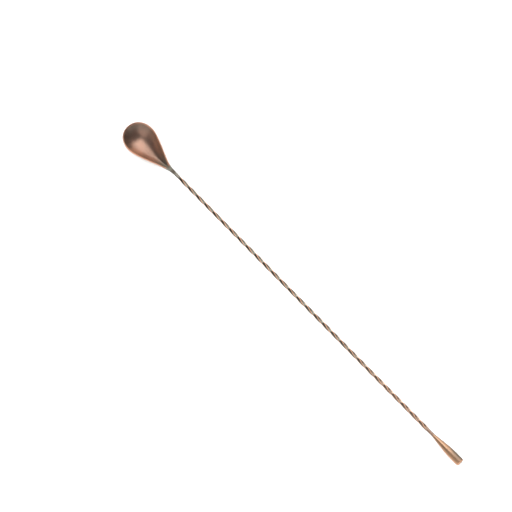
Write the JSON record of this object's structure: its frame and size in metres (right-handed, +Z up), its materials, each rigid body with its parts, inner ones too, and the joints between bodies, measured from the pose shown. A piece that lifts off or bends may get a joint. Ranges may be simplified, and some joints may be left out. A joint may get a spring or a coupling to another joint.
{
  "type": "bar spoon",
  "caption": "Long bar spoon with a teardrop bowl, a drawn neck, a twisted square handle and a turned drop weight on its end.",
  "frame": {"origin": "middle of the spoon's length and width, on the surface that it lies on", "axes": "+X along the spoon from the bowl's tip towards the drop weight, +Z up, out of the bowl's mouth"},
  "size_m": [0.4, 0.0282, 0.0127],
  "materials": {
    "bowl_copper": "stainless steel with brushed antique copper plating, relieved to bright copper on the rim",
    "handle_copper": "stainless steel with dark antique copper plating, relieved to bright copper along the twisted edges",
    "weight_copper": "stainless steel with brushed antique copper plating",
    "filler_metal": "brazing metal, filed flush and plated over"
  },
  "bodies": {
    "root": {"bowl": "bowl_copper", "twisted_handle": "handle_copper", "drop_weight": "weight_copper", "neck_filler": "filler_metal", "weight_filler": "filler_metal"}
  },
  "joints": []
}
